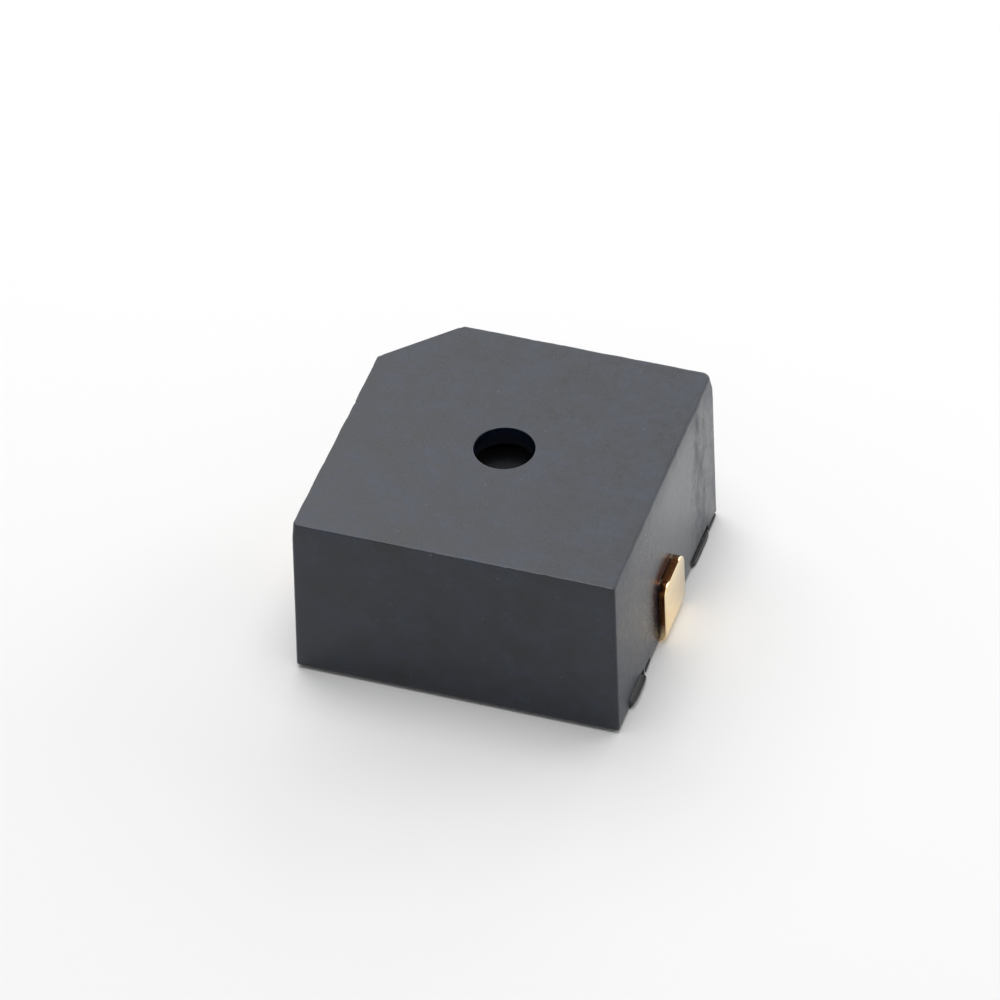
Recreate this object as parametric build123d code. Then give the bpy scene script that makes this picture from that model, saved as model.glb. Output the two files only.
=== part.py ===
from build123d import *
import math
import os

# Magnetic buzzer for surface mounting, in millimetres, +Z up. The board plane is z = 0,
# the two terminals lie on -X and +X, and the sound leaves through the roof.

# Moulded case
case_width = 9.0            # at the lower edge, along X and along Y
case_height = 5.0
case_standoff = 0.1         # lower edge of the mouldings above the board
wall_draft = 0.85           # degrees that each wall leans in
polarity_cut = 1.9          # leg of the cut corner at (-X, +Y)
corner_radius = 0.1         # upright outer corners
rim_radius = 0.06           # top edge, all round
roof_thickness = 0.6
sound_hole = 1.65           # diameter
skirt_wall = 0.42           # wall round the flange of the base
bore_wall = 0.6             # case between its bore and the middle of a side
shoulder_width = 0.45       # step from the bore to the resonance chamber
chamber_height = 0.9
core_pocket = 1.1           # diameter of the cored-out corners
core_pocket_wall = 0.5      # case outside a cored-out corner
core_pocket_roof = 1.1      # case above a cored-out corner

# Moulded base
flange_height = 0.9
flange_gap = 0.04           # all round, filled by the seam bond
flange_radius = 0.3
ring_gap = 0.05             # between ring wall and bore
ring_wall = 0.6
ledge_width = 0.55          # seat of the yoke round the potting well
peg_diameter = 0.8
peg_height = 0.7
peg_lead = 0.12             # chamfer on top of a peg

# Side lugs of the base, one beside each whole corner
lug_width = 1.45
lug_margin = 0.8            # from a lug to the corner of the case
lug_height = 0.1
lug_drop = 0.05             # lug sole below the lower edge of the case
lug_proud = 0.12            # outside the wall of the case
notch_side_gap = 0.05
notch_top_gap = 0.17

# Terminals, each one bent strip
strip_thickness = 0.18
tab_width = 1.75
tab_height = 2.07           # top of the tab above the board
tab_corner = 0.35           # radius of the tab's two free corners
tab_gap = 0.04              # between tab and wall
bend_radius = 0.22          # on the middle of the strip
leg_width = 0.9             # riser and inner pad
riser_margin = 0.35         # riser outside the potting well
riser_straight = 0.02       # between the two bends of the riser
pad_drop = 0.26             # inner pad below the yoke
relief_gap = 0.09           # above the foot, in the wall of the case
relief_side_gap = 0.05

# Magnetic circuit
yoke_gap = 0.05             # between yoke and ring wall
yoke_thickness = 0.6
wire_hole = 0.4
rivet_step = 0.2            # shoulder of the core round its rivet shank
core_share = 0.44           # core's part of the winding's diameter
core_reach = 0.33           # core above the winding
coil_clearance = 0.05       # between core and winding
magnet_gap = 0.15           # between magnet and ring wall
magnet_step = 0.15          # magnet below the top of the winding
air_gap = 0.12              # core to diaphragm

# Diaphragm
diaphragm_gap = 0.15        # between diaphragm and bore
diaphragm_thickness = 0.05
diaphragm_play = 0.08       # below the shoulder of the case
armature_step = 0.2         # armature inside the edge of the winding
armature_thickness = 0.3

# Leads and joints
wire_diameter = 0.1         # across the flats of the eight-sided leads
wire_sides = 8
wire_bend = 0.12
lead_reach = 0.25           # lead to winding on one side, to magnet on the other
start_level = 0.15          # inner end of the winding, above the yoke
finish_drop = 0.35          # outer end of the winding, below its top
wire_gap = 0.02             # solder between lead and pad
pad_clearance = 0.12        # between lead and end of the pad
joint_radius = 0.25
joint_height = 0.22
joint_margin = 0.08         # between joint and wall of the potting well
epoxy_recess = 0.04         # potting below the underside of the base

# Levels, from the board up to the yoke
foot_level = strip_thickness / 2
pad_middle = foot_level + 2 * bend_radius + riser_straight
pad_under = pad_middle - strip_thickness / 2
yoke_seat = pad_middle + strip_thickness / 2 + pad_drop
yoke_top = yoke_seat + yoke_thickness
flange_top = case_standoff + flange_height

# Levels, from the roof down to the winding
roof_top = case_standoff + case_height
roof_under = roof_top - roof_thickness
pocket_top = roof_top - core_pocket_roof
shoulder = roof_under - chamber_height
diaphragm_top = shoulder - diaphragm_play
diaphragm_seat = diaphragm_top - diaphragm_thickness
core_top = diaphragm_seat - air_gap
coil_top = core_top - core_reach
magnet_top = coil_top - magnet_step

# Diameters and places, from the wall in to the winding
wall_face = case_width / 2
roof_inset = case_height * math.tan(math.radians(wall_draft))
pocket_place = wall_face - core_pocket_wall - core_pocket / 2
lug_place = wall_face - lug_margin - lug_width / 2
tab_middle = wall_face + tab_gap + strip_thickness / 2
bore_diameter = case_width - 2 * bore_wall
chamber_diameter = bore_diameter - 2 * shoulder_width
diaphragm_diameter = bore_diameter - 2 * diaphragm_gap
ring_outer = bore_diameter - 2 * ring_gap
ring_inner = ring_outer - 2 * ring_wall
yoke_diameter = ring_inner - 2 * yoke_gap
magnet_outer = ring_inner - 2 * magnet_gap
well_diameter = ring_inner - 2 * ledge_width
riser_place = well_diameter / 2 + riser_margin
joint_place = well_diameter / 2 - joint_margin - joint_radius
pad_end = joint_place - joint_radius
lead_place = pad_end - pad_clearance - wire_diameter / 2
magnet_inner = 2 * (lead_place + lead_reach)
coil_diameter = 2 * (lead_place - lead_reach)
core_diameter = core_share * coil_diameter
coil_inner = core_diameter + 2 * coil_clearance
rivet_diameter = core_diameter - 2 * rivet_step
armature_diameter = coil_diameter - 2 * armature_step

# Signs of X and Y of the three whole corners, which take the pegs and the lugs
whole_corners = ((1, 1), (1, -1), (-1, -1))

# A wall moved in by a distance shortens the cut's leg by this share of it.
leg_per_inset = 2 - math.sqrt(2)


def marked_square(inset, radius):
    """Outline of the case's lower edge moved in by inset, with its cut corner."""
    half = case_width / 2 - inset
    cut = polarity_cut - leg_per_inset * inset
    corners = (
        (-half, -half),
        (half, -half),
        (half, half),
        (cut - half, half),
        (-half, half - cut),
    )
    face = Polygon(*corners, align=None)
    return fillet(face.vertices(), radius)


def disc(diameter, bottom, top):
    """Round solid on the Z axis between two levels."""
    return Pos(0, 0, bottom) * extrude(Circle(diameter / 2), top - bottom)


def ring(outer, inner, bottom, top):
    """Round solid with a hole, between two levels."""
    face = Circle(outer / 2) - Circle(inner / 2)
    return Pos(0, 0, bottom) * extrude(face, top - bottom)


def block(x_range, y_middle, width, z_range):
    """Box between two places on X and two levels, width wide along Y."""
    face = Rectangle(x_range[1] - x_range[0], width, align=(Align.MIN, Align.CENTER))
    return Pos(x_range[0], y_middle, z_range[0]) * extrude(face, z_range[1] - z_range[0])


def turned(solid):
    """A solid of the +X side, turned about the Z axis to the -X side."""
    return Rot(0, 0, 180) * solid


def lug_blocks(side_gap, top_gap, bottom):
    """The lugs of the base, or with gaps the notches that they stand in."""
    inner = wall_face - skirt_wall - flange_gap - flange_radius
    x_range = (inner, wall_face + lug_proud)
    z_range = (bottom, case_standoff + lug_height + top_gap)
    lugs = []
    for x_sign, y_sign in whole_corners:
        lug = block(x_range, x_sign * y_sign * lug_place, lug_width + 2 * side_gap, z_range)
        lugs.append(lug if x_sign > 0 else turned(lug))
    return lugs


def make_strip():
    """Terminal of the +X side: tab, foot, riser and inner pad in one strip."""
    path = FilletPolyline(
        (tab_middle, 0, tab_height),
        (tab_middle, 0, foot_level),
        (riser_place, 0, foot_level),
        (riser_place, 0, pad_middle),
        (pad_end, 0, pad_middle),
        radius=bend_radius,
    )
    start = Plane(origin=(tab_middle, 0, tab_height), x_dir=(0, 1, 0), z_dir=(0, 0, -1))
    strip = sweep(start * Rectangle(tab_width, strip_thickness), path=path)
    free_corners = strip.edges().filter_by(Axis.X).group_by(Axis.Z)[-1]
    strip = fillet(free_corners, tab_corner)
    side_width = (tab_width - leg_width) / 2
    side_middle = (leg_width + side_width) / 2
    cut_range = (pad_end - strip_thickness, riser_place + bend_radius + strip_thickness)
    for side in (-1, 1):
        strip -= block(cut_range, side * side_middle, side_width, (-strip_thickness, yoke_seat))
    return strip


def make_case():
    """Square shell with its sound hole, stepped bore, cored corners and notches."""
    lower = marked_square(0, corner_radius)
    upper = Pos(0, 0, case_height) * marked_square(roof_inset, corner_radius - roof_inset)
    case = Pos(0, 0, case_standoff) * loft([lower, upper], ruled=True)
    case = fillet(case.faces().sort_by(Axis.Z)[-1].edges(), rim_radius)
    recess = extrude(marked_square(skirt_wall, flange_radius), flange_height)
    case -= Pos(0, 0, case_standoff) * recess
    case -= disc(bore_diameter, case_standoff, shoulder)
    case -= disc(chamber_diameter, shoulder, roof_under)
    case -= disc(sound_hole, shoulder, roof_top + roof_thickness)
    for x_sign, y_sign in whole_corners:
        pocket = disc(core_pocket, flange_top, pocket_top)
        case -= Pos(x_sign * pocket_place, y_sign * pocket_place, 0) * pocket
    case -= lug_blocks(notch_side_gap, notch_top_gap, 0)
    relief_width = tab_width + 2 * relief_side_gap
    relief = block((riser_place, tab_middle), 0, relief_width, (0, strip_thickness + relief_gap))
    return case - [relief, turned(relief)]


def make_base(strips):
    """Flange, ring wall, yoke ledge, potting well, pegs and lugs in one moulding."""
    flange = marked_square(skirt_wall + flange_gap, flange_radius)
    base = Pos(0, 0, case_standoff) * extrude(flange, flange_height)
    base += disc(ring_outer, case_standoff, diaphragm_seat)
    for x_sign, y_sign in whole_corners:
        peg = disc(peg_diameter, flange_top, flange_top + peg_height)
        peg = chamfer(peg.faces().sort_by(Axis.Z)[-1].edges(), peg_lead)
        base += Pos(x_sign * pocket_place, y_sign * pocket_place, 0) * peg
    base += lug_blocks(0, 0, case_standoff - lug_drop)
    base -= disc(ring_inner, yoke_seat, diaphragm_seat)
    base -= disc(well_diameter, 0, yoke_seat)
    return base - strips


def make_bond(strips):
    """Epoxy in the gap between the flange and the skirt of the case."""
    face = marked_square(skirt_wall, flange_radius)
    face -= marked_square(skirt_wall + flange_gap, flange_radius)
    bond = Pos(0, 0, case_standoff) * extrude(face, flange_height)
    return bond - lug_blocks(0, 0, case_standoff - lug_drop) - strips


def make_yoke():
    """Steel disc with the rivet hole and one hole for each lead."""
    yoke = ring(yoke_diameter, rivet_diameter, yoke_seat, yoke_top)
    for side in (-1, 1):
        yoke -= Pos(side * lead_place, 0, 0) * disc(wire_hole, yoke_seat, yoke_top)
    return yoke


def make_core():
    """Iron pin with its rivet shank, which is flush under the yoke."""
    return disc(rivet_diameter, yoke_seat, yoke_top) + disc(core_diameter, yoke_top, core_top)


def make_lead(level):
    """Lead on the +X side: out of the winding, down through the yoke, under the pad."""
    start = (coil_diameter / 2, 0, level)
    low = pad_under - wire_gap - wire_diameter / 2
    path = FilletPolyline(
        start,
        (lead_place, 0, level),
        (lead_place, 0, low),
        (joint_place + joint_radius / 2, 0, low),
        radius=wire_bend,
    )
    plane = Plane(origin=start, x_dir=(0, 1, 0), z_dir=(1, 0, 0))
    section = RegularPolygon(
        wire_diameter / 2, wire_sides, major_radius=False, rotation=180 / wire_sides
    )
    return sweep(plane * section, path=path)


def make_joint(lead):
    """Solder dome under the pad of the +X side, round the end of its lead."""
    ball_radius = (joint_radius**2 + joint_height**2) / (2 * joint_height)
    ball = Pos(joint_place, 0, pad_under + ball_radius - joint_height) * Sphere(ball_radius)
    room = Pos(joint_place, 0, 0) * disc(4 * joint_radius, 0, pad_under)
    return (ball & room) - lead


def make_potting(held):
    """Epoxy that closes the underside round the pieces that it holds."""
    potting = disc(well_diameter, case_standoff + epoxy_recess, yoke_seat)
    for piece in held:
        potting -= piece
    return potting


terminal_negative = make_strip()
terminal_positive = turned(terminal_negative)
strips = [terminal_negative, terminal_positive]
lead_finish = make_lead(coil_top - finish_drop)
lead_start = turned(make_lead(yoke_top + start_level))
joint_negative = make_joint(lead_finish)
joint_positive = turned(make_joint(turned(lead_start)))

parts = {
    "case": make_case(),
    "base": make_base(strips),
    "terminal_positive": terminal_positive,
    "terminal_negative": terminal_negative,
    "yoke_plate": make_yoke(),
    "pole_core": make_core(),
    "coil_winding": ring(coil_diameter, coil_inner, yoke_top, coil_top),
    "lead_wire_start": lead_start,
    "lead_wire_finish": lead_finish,
    "solder_joint_positive": joint_positive,
    "solder_joint_negative": joint_negative,
    "ring_magnet": ring(magnet_outer, magnet_inner, yoke_top, magnet_top),
    "diaphragm": disc(diaphragm_diameter, diaphragm_seat, diaphragm_top),
    "armature_disc": disc(armature_diameter, diaphragm_top, diaphragm_top + armature_thickness),
    "epoxy_fill": make_potting(
        strips + [joint_negative, joint_positive, lead_finish, lead_start]
    ),
    "seam_bond": make_bond(strips),
}

os.makedirs("parts", exist_ok=True)
for name, shape in parts.items():
    export_step(shape, f"parts/{name}.step")
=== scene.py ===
import math
from collections import namedtuple

import bmesh
import bpy
from mathutils import Matrix, Vector, noise


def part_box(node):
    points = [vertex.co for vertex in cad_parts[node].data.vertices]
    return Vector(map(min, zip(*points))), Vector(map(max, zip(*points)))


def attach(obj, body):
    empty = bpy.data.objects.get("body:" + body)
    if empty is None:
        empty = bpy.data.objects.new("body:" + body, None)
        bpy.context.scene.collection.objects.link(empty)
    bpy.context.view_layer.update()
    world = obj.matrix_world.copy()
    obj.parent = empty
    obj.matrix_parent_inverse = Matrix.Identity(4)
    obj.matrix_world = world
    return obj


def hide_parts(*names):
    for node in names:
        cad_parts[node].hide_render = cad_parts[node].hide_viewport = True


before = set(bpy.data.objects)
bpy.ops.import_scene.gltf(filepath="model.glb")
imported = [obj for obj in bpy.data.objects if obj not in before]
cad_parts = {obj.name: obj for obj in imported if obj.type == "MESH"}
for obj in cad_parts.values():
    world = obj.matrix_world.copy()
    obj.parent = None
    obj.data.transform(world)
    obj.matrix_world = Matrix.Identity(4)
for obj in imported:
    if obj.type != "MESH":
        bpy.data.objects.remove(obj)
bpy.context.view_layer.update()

# Sizes are in millimetres, and each mesh is written in metres.
MM = 0.001

# Sizes of the mouldings. The radii of the upright corners are those at -X -Y, +X -Y and +X +Y,
# then those at both ends of the polarity cut.
POLARITY_CUT = 1.9          # leg of the cut corner
CORNER_RADII = (0.08, 0.07, 0.08, 0.06, 0.06)
ROOF_CORNER_RADII = (0.12, 0.08, 0.25, 0.1, 0.1)
ROOF_CORNER_DEPTH = 0.5     # below the rim, where the corners start to widen towards the roof
RIM_RADIUS = 0.05
LOWER_EDGE = 0.045          # radius of the lower edge
WALL_DRAFT = math.radians(0.85)
ROOF_THICKNESS = 0.6
SOUND_HOLE = 1.64           # diameter, as for bore and chamber
HOLE_RELIEF = 0.05          # radius of the hole's inner edge
SKIRT_WALL = 0.42           # wall round the flange of the base
FLANGE_RADII = (0.3,) * 5
FLANGE_HEIGHT = 0.9
FLANGE_GAP = 0.04
BORE = 7.8
CHAMBER = 6.9               # resonance chamber under the roof
CHAMBER_HEIGHT = 0.9
POCKET = 1.1                # diameter of a cored-out corner
POCKET_WALL = 0.5
POCKET_ROOF = 1.1
RELIEF_WIDTH = 1.85         # opening of the wall over a terminal's foot
RELIEF_TOP = 0.27
EDGE_BREAK = 0.02           # what tumbling leaves on a moulded edge
CHIP = ((-0.51, -4.42, 5.06), (0.14, 0.05, 0.07))  # in the front rim: place, reach along X, Y, Z

# Wear of the case: how far walls and rim wander inwards, and how many waves go to a millimetre
WALL_DRIFT = 0.0015
WALL_WAVES = 1.3
RIM_DRIFT = 0.035
RIM_WAVES = 1.9
NICK_DEPTH = 0.06
NICK_WAVES = 4.1
NICK_START = 0.3            # the part of the noise above this makes the nicks

# Lugs of the base. Side and end are the signs of X and Y, margin goes from the lug to the
# corner, proud is how far it stands out of the wall, undercut how far its foot falls back.
Lug = namedtuple("Lug", "side end margin width top proud undercut notch_top")
LUGS = (
    Lug(1, 1, 0.90, 1.45, 0.19, 0.08, 0.0, 0.34),
    Lug(1, -1, 0.97, 1.20, 0.24, 0.15, 0.12, 0.36),
    Lug(1, -1, 2.41, 0.30, 0.17, 0.02, 0.02, 0.27),
    Lug(-1, -1, 0.80, 1.45, 0.20, 0.12, 0.06, 0.37),
)
LIP = Lug(1, 1, 0.14, 0.71, 0.105, 0.03, 0.0, 0.17)  # thin flash under a slit in the wall
NOTCH_GAP = 0.05
LUG_NOSE = 0.03             # radius of a lug's upper edge
LUG_END_SHARE = 0.15        # share of the stand-out that is left at a lug's ends

# Sizes of the terminals
STRIP_THICKNESS = 0.21
TAB_TOP = 1.99
TAB_HALVES = (0.875, 0.835)  # from the middle of the tab to its sides at -Y and +Y
TAB_CORNERS = (0.35, 0.5)   # radii of its free corners at -Y and +Y
SHEAR_ROLL = 0.04           # radius that the punch leaves on the outer edges
BURR = 0.008
DARK_SIDE_SHARE_AT_BEND = 0.45           # share of a sheared side's dark colour that is left at the bend; the rest is painted reflection of the floor
PAINTED_REFLECTION_TOP = 0.75            # level at which the painted reflection begins
LEG_WIDTH = 0.9             # riser and inner pad
BEND_RADIUS = 0.22
TAB_BEND_RADIUS = 0.28
BEND_STEPS = 10
RISER_PLACE = 3.05
PAD_LEVEL = 0.61
PAD_END = 2.12

# Sizes of the winding and its leads
LEAD_WIRE = 0.1
LEAD_BEND = 0.12
LEAD_PLACE = 1.95
LEAD_LOW = 0.45
LEAD_END = 2.495
START_LEVEL = 1.71
FINISH_LEVEL = 2.67
TURN_WIRE = 0.07
WINDING_BORE = 0.8          # radius
LAYERS = 12                 # of wire, which show on the winding's ends
LAYER_STEP = 0.012

# What the frame gives
case_low, case_high = (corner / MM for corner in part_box("case"))
coil_low, coil_high = (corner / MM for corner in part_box("coil_winding"))
TAB_FACE = (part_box("terminal_negative")[1] / MM).x
LUG_SOLE = (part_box("base")[0] / MM).z
CASE_HALF = case_high.x
STANDOFF = case_low.z
ROOF_TOP = case_high.z
ROOF_UNDER = ROOF_TOP - ROOF_THICKNESS
SHOULDER = ROOF_UNDER - CHAMBER_HEIGHT
FLANGE_TOP = STANDOFF + FLANGE_HEIGHT
FLANGE_FACE = CASE_HALF - SKIRT_WALL - FLANGE_GAP
WALL_REACH = (CASE_HALF - 2 * SKIRT_WALL, CASE_HALF + SKIRT_WALL)  # through a side wall
LEG_PER_INSET = 2 - math.sqrt(2)  # what the cut's leg loses as the walls move in
WHOLE_CORNERS = ((1, 1), (1, -1), (-1, -1))

# Patterns in the moulded plastic, and the part of each noise that they use
CLOUD_SIZE = 0.9
CLOUD_RANGE = (0.35, 0.68)
MOTTLE_SIZE = 0.2
MOTTLE_RANGE = (0.3, 0.7)
FLAKE_SPACING = 0.42
FLAKE_EDGE = (0.03, 0.13)   # from the middle of a flake to where it ends
FLAKE_SHARE = 0.25          # of the flake's own colour at its middle
GRAIN_SIZE = 0.05
GRAIN_DEPTH = 0.003

# Roughness of the mouldings
ROOF_ROUGHNESS = 0.3
WALL_ROUGHNESS = 0.21
BASE_ROUGHNESS = 0.55

# Marks of handling on the +X wall, as places along Y and as what they add to the roughness
POLISHED_PLACE = 1.5
POLISHED_REACH = 0.8
POLISHED_CHANGE = -0.035
DULL_REACH = 6.0
DULL_CHANGE = 0.18
RUB_PLACE = 2.9
RUB_REACH = 0.9
RUB_CHANGE = 0.16
RUB_BREAK = 0.6             # how far the strokes break the rub mark up
SCUFF_SIZE = 0.35
SCUFF_RANGE = (0.42, 0.66)
SCUFF_CHANGE = 0.12
SCUFF_RELIEF = 0.8          # of the grain's depth

# The room: lamps as name, azimuth from +X, elevation and radiance
LAMP_DISTANCE = 200
LAMP_SPREAD = math.radians(40)
LAMPS = (
    ("lamp_overhead", 0, 90, 4.28),
    ("lamp_back", 90, 22, 1.63),
    ("lamp_back_right", 45, 22, 1.66),
    ("lamp_back_left", 135, 50, 1.73),
)
ROOM_LIGHT = 0.3


def linear(text):
    """Linear RGBA from an sRGB hex value."""
    values = [int(text[i:i + 2], 16) / 255 for i in (1, 3, 5)]
    return [v / 12.92 if v <= 0.04045 else ((v + 0.055) / 1.055) ** 2.4 for v in values] + [1.0]


def add(tree, kind, links=None, **settings):
    """Add a node. Links maps an input to a value or to a node and the name of its output."""
    node = tree.nodes.new(kind)
    for name, value in settings.items():
        setattr(node, name, value)
    for name, value in (links or {}).items():
        if isinstance(value, tuple) and isinstance(value[0], bpy.types.Node):
            tree.links.new(value[0].outputs[value[1]], node.inputs[name])
        else:
            node.inputs[name].default_value = value
    return node


def start_material(name):
    """An empty material with its principled shader and output."""
    material = bpy.data.materials.new(name)
    material.use_nodes = True
    tree = material.node_tree
    tree.nodes.clear()
    shader = add(tree, "ShaderNodeBsdfPrincipled")
    add(tree, "ShaderNodeOutputMaterial", {"Surface": (shader, "BSDF")})
    return material, tree, shader


def per_mm(size):
    """Texture scale that gives features of a size in millimetres on Object coordinates."""
    return 1 / (size * MM)


def link_surface(tree, shader, colour, gloss, bump):
    """Lead a mixed colour, a roughness and a bump to the shader."""
    tree.links.new(colour.outputs[2], shader.inputs["Base Color"])
    tree.links.new(gloss.outputs[0], shader.inputs["Roughness"])
    tree.links.new(bump.outputs["Normal"], shader.inputs["Normal"])


def handling_marks(tree, place, gloss, relief):
    """Add what handling left on the +X wall to the roughness and the relief of a moulding.

    Fingers polished a stretch of the wall, to both sides of which it gets duller. A broad rub
    mark lies behind it, and upright scuffs get denser towards the back.
    """
    split = add(tree, "ShaderNodeSeparateXYZ", {"Vector": (place, "Object")})
    wall = add(
        tree, "ShaderNodeMapRange",
        {"Value": (split, "X"), 1: (CASE_HALF - 0.2) * MM, 2: (CASE_HALF - 0.1) * MM},
    )
    back = add(
        tree, "ShaderNodeMapRange",
        {"Value": (split, "Y"), 1: 0.2 * CASE_HALF * MM, 2: 0.8 * CASE_HALF * MM},
    )
    upright = add(
        tree, "ShaderNodeMapping", {"Vector": (place, "Object"), "Scale": (1.0, 1.0, 0.45)},
    )
    strokes = add(
        tree, "ShaderNodeTexNoise",
        {"Vector": (upright, "Vector"), "Scale": per_mm(SCUFF_SIZE), "Detail": 6.0,
         "Roughness": 0.7},
    )
    stroke = add(
        tree, "ShaderNodeMapRange",
        {"Value": (strokes, "Fac"), 1: SCUFF_RANGE[0], 2: SCUFF_RANGE[1]},
    )
    from_polish = add(
        tree, "ShaderNodeMath", {0: (split, "Y"), 1: POLISHED_PLACE * MM}, operation="SUBTRACT",
    )
    off_polish = add(tree, "ShaderNodeMath", {0: (from_polish, "Value")}, operation="ABSOLUTE")
    polish = add(
        tree, "ShaderNodeMapRange",
        {"Value": (off_polish, "Value"), 1: POLISHED_REACH * MM, 2: DULL_REACH * MM,
         3: POLISHED_CHANGE, 4: DULL_CHANGE},
    )
    from_rub = add(
        tree, "ShaderNodeMath", {0: (split, "Y"), 1: RUB_PLACE * MM}, operation="SUBTRACT",
    )
    off_rub = add(tree, "ShaderNodeMath", {0: (from_rub, "Value")}, operation="ABSOLUTE")
    rub = add(
        tree, "ShaderNodeMapRange",
        {"Value": (off_rub, "Value"), 1: 0.0, 2: RUB_REACH * MM, 3: 1.0, 4: 0.0},
        interpolation_type="SMOOTHSTEP",
    )
    broken = add(
        tree, "ShaderNodeMath", {0: (stroke, "Result"), 1: RUB_BREAK, 2: 1 - RUB_BREAK},
        operation="MULTIPLY_ADD",
    )
    rubbed = add(
        tree, "ShaderNodeMath", {0: (rub, "Result"), 1: (broken, "Value")}, operation="MULTIPLY",
    )
    worn = add(
        tree, "ShaderNodeMath", {0: (rubbed, "Value"), 1: RUB_CHANGE, 2: (polish, "Result")},
        operation="MULTIPLY_ADD",
    )
    worn_gloss = add(
        tree, "ShaderNodeMath",
        {0: (wall, "Result"), 1: (worn, "Value"), 2: (gloss, "Value")}, operation="MULTIPLY_ADD",
    )
    zone = add(
        tree, "ShaderNodeMath", {0: (wall, "Result"), 1: (back, "Result")}, operation="MULTIPLY",
    )
    scuff = add(
        tree, "ShaderNodeMath", {0: (zone, "Value"), 1: (stroke, "Result")},
        operation="MULTIPLY",
    )
    scuffed_gloss = add(
        tree, "ShaderNodeMath", {0: (scuff, "Value"), 1: SCUFF_CHANGE, 2: (worn_gloss, "Value")},
        operation="MULTIPLY_ADD",
    )
    scuffed_relief = add(
        tree, "ShaderNodeMath", {0: (scuff, "Value"), 1: SCUFF_RELIEF, 2: (relief, "Value")},
        operation="MULTIPLY_ADD",
    )
    return scuffed_gloss, scuffed_relief


def moulded_lcp(name, tones, wall_roughness, handled=False):
    """Glass-filled liquid crystal polymer, moulded in a spark-eroded tool.

    The tool leaves a fine satin grain of some hundredths of a millimetre, which is drawn here
    at twice its size so that it shows. The flow of the filler leaves faint clouds, and single
    flakes of it show as pale specks and small pits. Where the tool slid along a wall as it
    opened, the wall has another gloss than the roof.
    """
    material, tree, shader = start_material(name)
    place = add(tree, "ShaderNodeTexCoord")
    clouds = add(
        tree, "ShaderNodeTexNoise",
        {"Vector": (place, "Object"), "Scale": per_mm(CLOUD_SIZE), "Detail": 3.0},
    )
    cloud = add(
        tree, "ShaderNodeMapRange",
        {"Value": (clouds, "Fac"), 1: CLOUD_RANGE[0], 2: CLOUD_RANGE[1]},
    )
    body = add(
        tree, "ShaderNodeMix", {0: (cloud, "Result"), 6: linear(tones[0]), 7: linear(tones[1])},
        data_type="RGBA",
    )
    mottle = add(
        tree, "ShaderNodeTexNoise",
        {"Vector": (place, "Object"), "Scale": per_mm(MOTTLE_SIZE), "Detail": 3.0},
    )
    shade = add(
        tree, "ShaderNodeMapRange",
        {"Value": (mottle, "Fac"), 1: MOTTLE_RANGE[0], 2: MOTTLE_RANGE[1], 3: 0.6, 4: 1.4},
    )
    mottled = add(
        tree, "ShaderNodeMix", {0: 1.0, 6: (body, 2), 7: (shade, "Result")},
        data_type="RGBA", blend_type="MULTIPLY",
    )
    flakes = add(
        tree, "ShaderNodeTexVoronoi",
        {"Vector": (place, "Object"), "Scale": per_mm(FLAKE_SPACING)},
    )
    spot = add(
        tree, "ShaderNodeMapRange",
        {"Value": (flakes, "Distance"), 1: FLAKE_EDGE[0], 2: FLAKE_EDGE[1], 3: 1.0, 4: 0.0},
    )
    chosen = add(tree, "ShaderNodeSeparateColor", {"Color": (flakes, "Color")})
    pale = add(
        tree, "ShaderNodeMapRange", {"Value": (chosen, "Red"), 1: 0.7, 2: 0.95, 4: FLAKE_SHARE},
    )
    flake = add(
        tree, "ShaderNodeMath", {0: (spot, "Result"), 1: (pale, "Result")}, operation="MULTIPLY",
    )
    flaked = add(
        tree, "ShaderNodeMix", {0: (flake, "Value"), 6: (mottled, 2), 7: linear("#6a6d72")},
        data_type="RGBA",
    )
    sunk = add(tree, "ShaderNodeMapRange", {"Value": (chosen, "Green"), 1: 0.7, 2: 1.0, 4: 0.3})
    pit = add(
        tree, "ShaderNodeMath", {0: (spot, "Result"), 1: (sunk, "Result")}, operation="MULTIPLY",
    )
    grain = add(
        tree, "ShaderNodeTexNoise",
        {"Vector": (place, "Object"), "Scale": per_mm(GRAIN_SIZE), "Detail": 2.0},
    )
    relief = add(
        tree, "ShaderNodeMath", {0: (grain, "Fac"), 1: (pit, "Value")}, operation="SUBTRACT",
    )
    facing = add(tree, "ShaderNodeSeparateXYZ", {"Vector": (place, "Normal")})
    drawn = add(
        tree, "ShaderNodeMapRange",
        {"Value": (facing, "Z"), 1: 0.2, 2: 0.8, 3: wall_roughness, 4: ROOF_ROUGHNESS},
    )
    cloudy = add(
        tree, "ShaderNodeMapRange",
        {"Value": (clouds, "Fac"), 1: CLOUD_RANGE[0], 2: CLOUD_RANGE[1], 3: -0.012, 4: 0.012},
    )
    uneven = add(
        tree, "ShaderNodeMapRange",
        {"Value": (mottle, "Fac"), 1: MOTTLE_RANGE[0], 2: MOTTLE_RANGE[1], 3: -0.04, 4: 0.04},
    )
    clouded_gloss = add(
        tree, "ShaderNodeMath", {0: (drawn, "Result"), 1: (cloudy, "Result")}, operation="ADD",
    )
    gloss = add(
        tree, "ShaderNodeMath", {0: (clouded_gloss, "Value"), 1: (uneven, "Result")},
        operation="ADD",
    )
    if handled:
        gloss, relief = handling_marks(tree, place, gloss, relief)
    bump = add(
        tree, "ShaderNodeBump",
        {"Height": (relief, "Value"), "Strength": 1.0, "Distance": GRAIN_DEPTH * MM},
    )
    link_surface(tree, shader, flaked, gloss, bump)
    return material


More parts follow.
